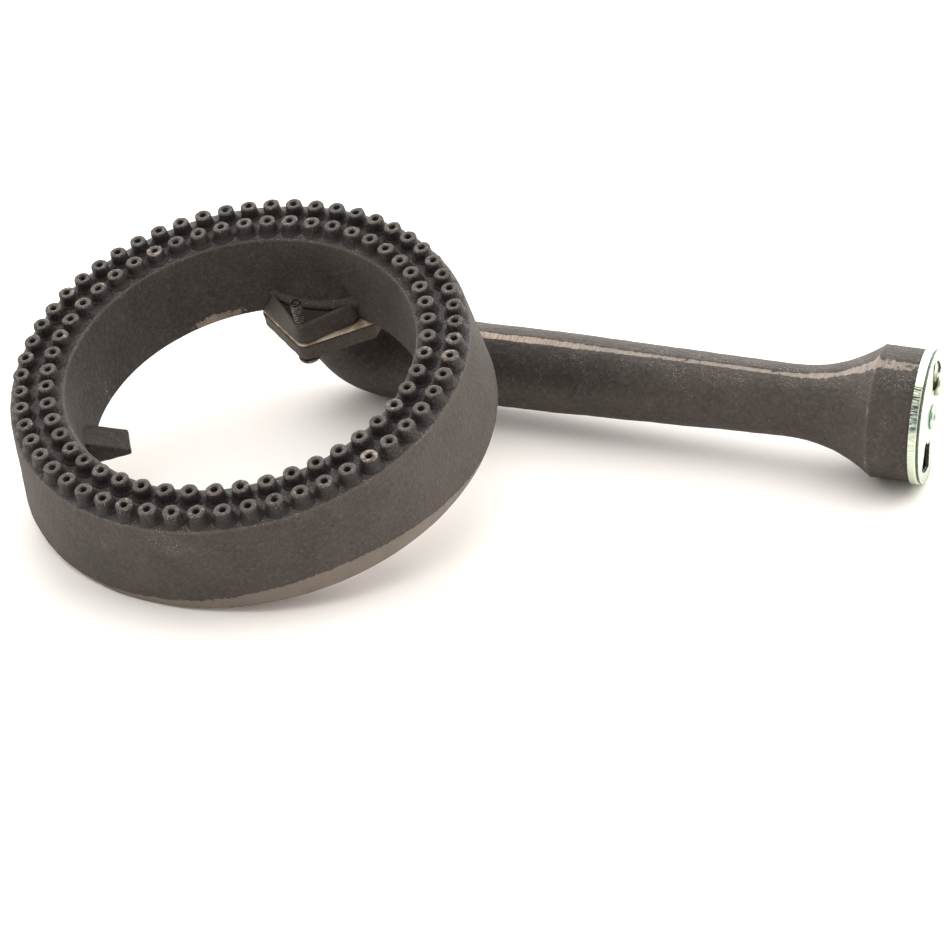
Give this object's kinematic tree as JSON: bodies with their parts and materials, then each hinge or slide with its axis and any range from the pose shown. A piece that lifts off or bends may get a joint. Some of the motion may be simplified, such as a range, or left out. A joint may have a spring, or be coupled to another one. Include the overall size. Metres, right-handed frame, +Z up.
{
  "type": "gas burner ring assembly",
  "caption": "Cast-iron gas burner ring with two rows of raised ports, a flanged mixing tube with a bell mouth and an adjustable air shutter.",
  "frame": {"origin": "on the table, under the middle of the bounding box, with the assembly lying as in the picture: on the edge of the ring, the heel of the elbow and the rim of the cap", "axes": "+Z up from the table, +X along the mixing tube towards its mouth, seen from above; the ring's own axis leans 17 degrees from +Z, down on its -Y side"},
  "size_m": [0.4632, 0.2822, 0.1242],
  "materials": {
    "cast_iron": "sand-cast, dark grey-brown, ground bare along the parting lines",
    "gasket_board": "cream fibre board",
    "black_steel": "black oxide",
    "zinc_plate": "bright zinc plate with a faint blue-green and yellow tint",
    "yellow_zinc": "yellow zinc plate"
  },
  "bodies": {
    "burner": {"burner_ring": "cast_iron", "flange_gasket": "gasket_board", "mixing_tube": "cast_iron", "inner_flange_screw": "black_steel", "outer_flange_screw": "black_steel", "mixer_cap": "zinc_plate", "shutter_eyelet": "zinc_plate"},
    "air_shutter": {"air_shutter": "zinc_plate"},
    "lock_screw": {"lock_screw": "yellow_zinc"}
  },
  "joints": [
    {"name": "shutter_turn", "type": "hinge", "parent": "burner", "child": "air_shutter", "pos_m": [0.22496, 0.10489, 0.03628], "axis": [0.9994, 0, 0.0358], "range_deg": [-34, 0]},
    {"name": "lock_screw_turn", "type": "hinge", "parent": "burner", "child": "lock_screw", "pos_m": [0.2269, 0.1178, 0.0492], "axis": [0.9994, 0, 0.0358], "range_deg": [0, 180]}
  ]
}
